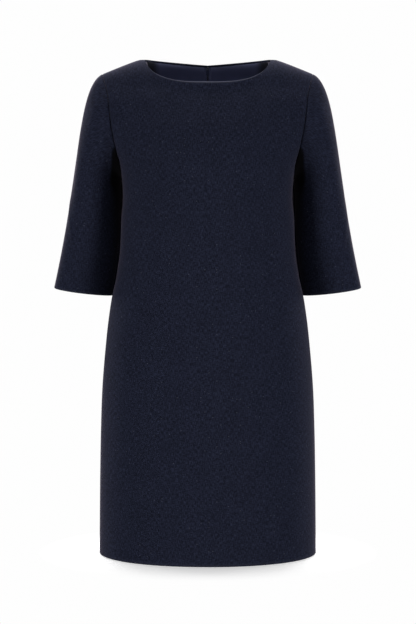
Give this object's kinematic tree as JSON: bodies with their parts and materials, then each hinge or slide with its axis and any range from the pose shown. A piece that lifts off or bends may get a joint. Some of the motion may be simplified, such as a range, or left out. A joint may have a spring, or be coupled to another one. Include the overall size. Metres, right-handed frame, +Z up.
{
  "type": "shift dress",
  "caption": "Hollow boat-neck shift dress with set-in elbow-length sleeves and a concealed back zip, filled out as if worn.",
  "frame": {"origin": "on the centre plane, midway between the two shoulder seams and halfway down their slope, where the wearer's shoulders carry the dress", "axes": "+Z up, the front faces -Y, +X towards the wearer's left arm, which is at the right as the front is seen"},
  "size_m": [0.5536, 0.2504, 0.892],
  "materials": {
    "wool": "felted navy wool with a faint lighter melange and a short nap",
    "facing": "smooth dark navy facing",
    "zip_tape": "woven navy zip tape",
    "zip_metal": "navy enamelled zip slider and pull"
  },
  "bodies": {
    "dress": {"front": "wool", "back_left": "wool", "back_right": "wool", "sleeve_left": "wool", "sleeve_right": "wool", "neck_facing_left": "facing", "neck_facing_right": "facing", "zip_tape_left": "zip_tape", "zip_tape_right": "zip_tape", "zip_slider": "zip_metal"},
    "pull": {"zip_pull": "zip_metal"}
  },
  "joints": [
    {"name": "pull_hinge", "type": "hinge", "parent": "dress", "child": "pull", "pos_m": [0, 0.0658, -0.0069], "axis": [1, 0, 0], "range_deg": [0, 150]}
  ]
}
